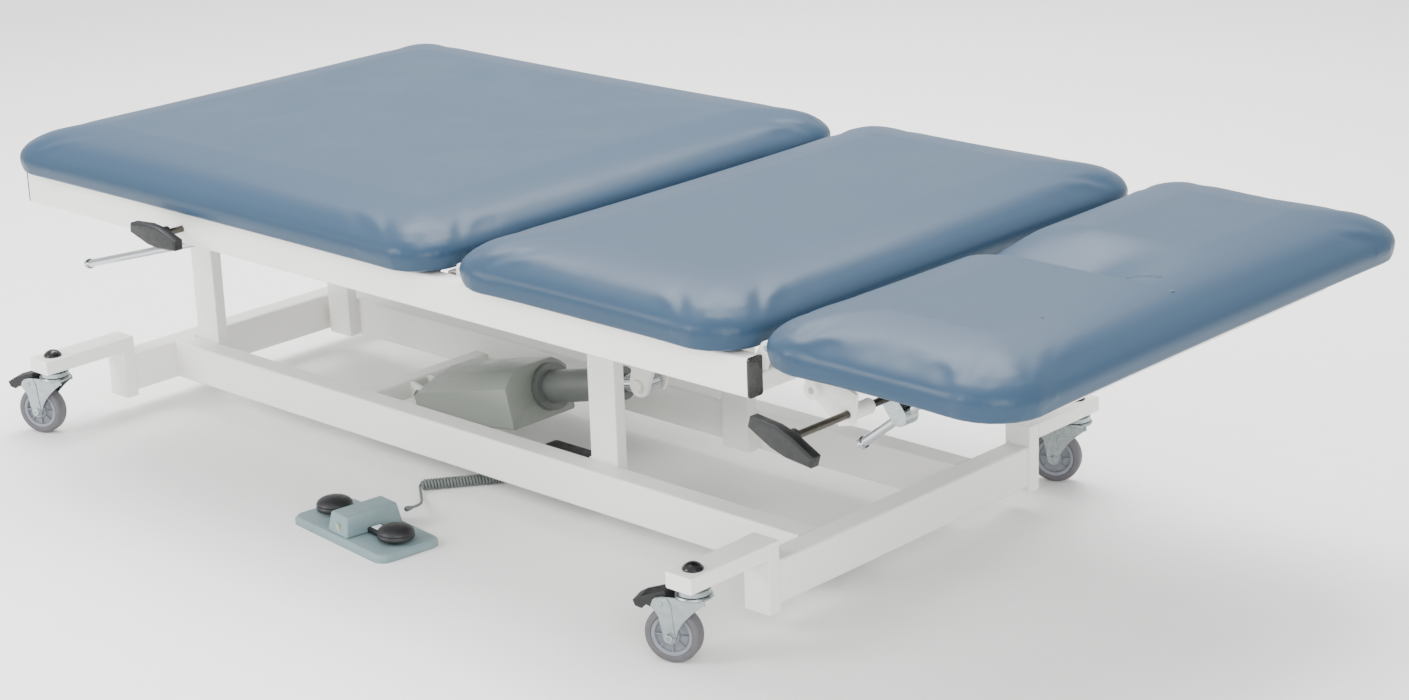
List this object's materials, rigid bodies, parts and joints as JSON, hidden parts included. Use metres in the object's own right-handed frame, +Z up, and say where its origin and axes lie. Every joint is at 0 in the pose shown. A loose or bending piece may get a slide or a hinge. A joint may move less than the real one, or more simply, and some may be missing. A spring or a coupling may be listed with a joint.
{
  "type": "medical exam table",
  "caption": "Three-section padded treatment table on a rolling lift base, with tilting end sections, locking handles, a lift actuator and a corded foot control.",
  "frame": {"origin": "on the floor below the middle of the whole table, foot casters included", "axes": "+X towards the head end, +Y away from the side with the locking handles, +Z up"},
  "size_m": [1.9683, 0.9005, 0.49],
  "materials": {
    "white_powder_coat": "satin white powder coat",
    "zinc_steel": "bright zinc plate",
    "chrome_rod": "polished chrome plate",
    "grey_tyre": "matt grey rubber",
    "grey_hub": "moulded grey plastic",
    "black_plastic": "moulded black plastic",
    "grey_plastic": "moulded pale grey plastic",
    "pedal_plastic": "moulded grey-green plastic",
    "cord_jacket": "grey cord jacket",
    "blue_vinyl": "steel blue upholstery vinyl",
    "board": "plywood under black dust cloth"
  },
  "bodies": {
    "base": {"base_side_rails": "white_powder_coat", "base_cross_members": "white_powder_coat", "outriggers": "white_powder_coat", "lift_posts": "white_powder_coat", "base_pins": "zinc_steel", "caster_stems": "zinc_steel", "stem_caps": "black_plastic", "control_box": "black_plastic", "cord_sleeves": "cord_jacket", "pedal_cord": "cord_jacket", "cord_coil": "cord_jacket", "pedal_base": "pedal_plastic", "pedal_cover": "pedal_plastic"},
    "head_swing": {"head_swing_frame": "white_powder_coat", "lift_lever": "white_powder_coat"},
    "foot_swing": {"foot_swing_frame": "white_powder_coat"},
    "top": {"top_rails": "white_powder_coat", "top_cross_tubes": "white_powder_coat", "top_lugs": "white_powder_coat", "top_pins": "zinc_steel", "rail_plugs": "black_plastic", "head_lock_plates": "white_powder_coat", "mid_board": "board", "mid_cushion": "blue_vinyl"},
    "actuator": {"actuator_housing": "grey_plastic", "actuator_tube": "grey_plastic", "actuator_motor": "zinc_steel"},
    "rod": {"actuator_rod": "chrome_rod"},
    "foot_section": {"foot_board": "board", "foot_cushion": "blue_vinyl", "foot_section_frame": "white_powder_coat"},
    "foot_clamp": {"foot_rod_clamp": "zinc_steel"},
    "foot_rod": {"foot_support_rod": "chrome_rod"},
    "foot_handle": {"foot_lock_shaft": "zinc_steel", "foot_lock_handle": "black_plastic"},
    "head_section": {"head_board": "board", "head_cushion": "blue_vinyl", "head_section_frame": "white_powder_coat"},
    "head_clamp": {"head_rod_clamp": "zinc_steel"},
    "head_rod": {"head_support_rod": "chrome_rod"},
    "head_handle": {"head_lock_shaft": "zinc_steel", "head_lock_handle": "black_plastic"},
    "near_foot_swivel": {"near_foot_fork": "zinc_steel"},
    "near_foot_wheel": {"near_foot_tyre": "grey_tyre", "near_foot_hub": "grey_hub"},
    "near_foot_lever": {"near_foot_brake": "black_plastic"},
    "far_foot_swivel": {"far_foot_fork": "zinc_steel"},
    "far_foot_wheel": {"far_foot_tyre": "grey_tyre", "far_foot_hub": "grey_hub"},
    "far_foot_lever": {"far_foot_brake": "black_plastic"},
    "near_head_swivel": {"near_head_fork": "zinc_steel"},
    "near_head_wheel": {"near_head_tyre": "grey_tyre", "near_head_hub": "grey_hub"},
    "near_head_lever": {"near_head_brake": "black_plastic"},
    "far_head_swivel": {"far_head_fork": "zinc_steel"},
    "far_head_wheel": {"far_head_tyre": "grey_tyre", "far_head_hub": "grey_hub"},
    "far_head_lever": {"far_head_brake": "black_plastic"},
    "down_button": {"pedal_down_button": "black_plastic"},
    "up_button": {"pedal_up_button": "black_plastic"}
  },
  "joints": [
    {"name": "lift", "type": "hinge", "parent": "base", "child": "head_swing", "pos_m": [0.0475, 0, 0.34], "axis": [0, -1, 0], "range_deg": [0, 74]},
    {"name": "foot_swing_turn", "type": "hinge", "parent": "base", "child": "foot_swing", "pos_m": [-0.8545, 0, 0.34], "axis": [0, -1, 0], "range_deg": [0, 74.5]},
    {"name": "top_level", "type": "hinge", "parent": "head_swing", "child": "top", "pos_m": [0.5275, 0, 0.34], "axis": [0, -1, 0], "range_deg": [-74.5, 0]},
    {"name": "actuator_tilt", "type": "hinge", "parent": "base", "child": "actuator", "pos_m": [-0.487, 0, 0.047], "axis": [0, -1, 0], "range_deg": [0, 2.24]},
    {"name": "rod_slide", "type": "slide", "parent": "actuator", "child": "rod", "axis": [0.9711, 0, 0.2388], "range_m": [0, 0.21803]},
    {"name": "foot_section_lift", "type": "hinge", "parent": "top", "child": "foot_section", "pos_m": [0.033, 0, 0.434], "axis": [0, 1, 0], "range_deg": [0, 50]},
    {"name": "foot_clamp_swivel", "type": "hinge", "parent": "top", "child": "foot_clamp", "pos_m": [-0.54, -0.35, 0.398], "axis": [0, -1, 0], "range_deg": [-1, 41.35]},
    {"name": "foot_rod_slide", "type": "slide", "parent": "foot_clamp", "child": "foot_rod", "axis": [0.9585, 0, 0.285], "range_m": [-0.001, 0.32128]},
    {"name": "foot_handle_turn", "type": "hinge", "parent": "top", "child": "foot_handle", "pos_m": [-0.54, -0.451, 0.398], "axis": [0, -1, 0], "range_deg": [0, 180]},
    {"name": "head_section_tilt", "type": "hinge", "parent": "top", "child": "head_section", "pos_m": [0.572, 0, 0.434], "axis": [0, -1, 0], "range_deg": [-20, 35]},
    {"name": "head_clamp_swivel", "type": "hinge", "parent": "top", "child": "head_clamp", "pos_m": [0.633, -0.215, 0.342], "axis": [0, -1, 0], "range_deg": [-16.38, 28.66]},
    {"name": "head_rod_slide", "type": "slide", "parent": "head_clamp", "child": "head_rod", "axis": [0.7877, 0, 0.616], "range_m": [-0.0392, 0.0686]},
    {"name": "head_handle_turn", "type": "hinge", "parent": "top", "child": "head_handle", "pos_m": [0.633, -0.42, 0.342], "axis": [0, -1, 0], "range_deg": [0, 180]},
    {"name": "near_foot_caster_turn", "type": "hinge", "parent": "base", "child": "near_foot_swivel", "pos_m": [-0.911, -0.403, 0.094], "axis": [0, 0, 1], "continuous": true},
    {"name": "near_foot_wheel_turn", "type": "hinge", "parent": "near_foot_swivel", "child": "near_foot_wheel", "pos_m": [-0.93677, -0.41394, 0.038], "axis": [0.3907, -0.9205, 0], "continuous": true},
    {"name": "near_foot_brake_turn", "type": "hinge", "parent": "near_foot_swivel", "child": "near_foot_lever", "pos_m": [-0.94598, -0.41785, 0.083], "axis": [0.3907, -0.9205, 0], "range_deg": [0, 8]},
    {"name": "far_foot_caster_turn", "type": "hinge", "parent": "base", "child": "far_foot_swivel", "pos_m": [-0.911, 0.403, 0.094], "axis": [0, 0, 1], "continuous": true},
    {"name": "far_foot_wheel_turn", "type": "hinge", "parent": "far_foot_swivel", "child": "far_foot_wheel", "pos_m": [-0.93677, 0.39206, 0.038], "axis": [0.3907, -0.9205, 0], "continuous": true},
    {"name": "far_foot_brake_turn", "type": "hinge", "parent": "far_foot_swivel", "child": "far_foot_lever", "pos_m": [-0.94598, 0.38815, 0.083], "axis": [0.3907, -0.9205, 0], "range_deg": [0, 8]},
    {"name": "near_head_caster_turn", "type": "hinge", "parent": "base", "child": "near_head_swivel", "pos_m": [0.461, -0.403, 0.094], "axis": [0, 0, 1], "continuous": true},
    {"name": "near_head_wheel_turn", "type": "hinge", "parent": "near_head_swivel", "child": "near_head_wheel", "pos_m": [0.43523, -0.41394, 0.038], "axis": [0.3907, -0.9205, 0], "continuous": true},
    {"name": "near_head_brake_turn", "type": "hinge", "parent": "near_head_swivel", "child": "near_head_lever", "pos_m": [0.42602, -0.41785, 0.083], "axis": [0.3907, -0.9205, 0], "range_deg": [0, 8]},
    {"name": "far_head_caster_turn", "type": "hinge", "parent": "base", "child": "far_head_swivel", "pos_m": [0.461, 0.403, 0.094], "axis": [0, 0, 1], "continuous": true},
    {"name": "far_head_wheel_turn", "type": "hinge", "parent": "far_head_swivel", "child": "far_head_wheel", "pos_m": [0.43523, 0.39206, 0.038], "axis": [0.3907, -0.9205, 0], "continuous": true},
    {"name": "far_head_brake_turn", "type": "hinge", "parent": "far_head_swivel", "child": "far_head_lever", "pos_m": [0.42602, 0.38815, 0.083], "axis": [0.3907, -0.9205, 0], "range_deg": [0, 8]},
    {"name": "down_button_press", "type": "slide", "parent": "base", "child": "down_button", "axis": [0, 0, -1], "range_m": [0, 0.004], "stiffness_N_per_m": 500, "springref_m": -0.002},
    {"name": "up_button_press", "type": "slide", "parent": "base", "child": "up_button", "axis": [0, 0, -1], "range_m": [0, 0.004], "stiffness_N_per_m": 500, "springref_m": -0.002}
  ],
  "couplings": [
    {"joint": "foot_swing_turn", "follows": "lift", "ratio": 1},
    {"joint": "top_level", "follows": "lift", "ratio": -1},
    {"joint": "actuator_tilt", "follows": "lift", "ratio": 0.028782},
    {"joint": "rod_slide", "follows": "lift", "m_per_rad": 0.16797},
    {"joint": "foot_clamp_swivel", "follows": "foot_section_lift", "ratio": 0.81487},
    {"joint": "foot_rod_slide", "follows": "foot_section_lift", "m_per_rad": 0.36633},
    {"joint": "head_clamp_swivel", "follows": "head_section_tilt", "ratio": 0.80287},
    {"joint": "head_rod_slide", "follows": "head_section_tilt", "m_per_rad": 0.11009}
  ]
}
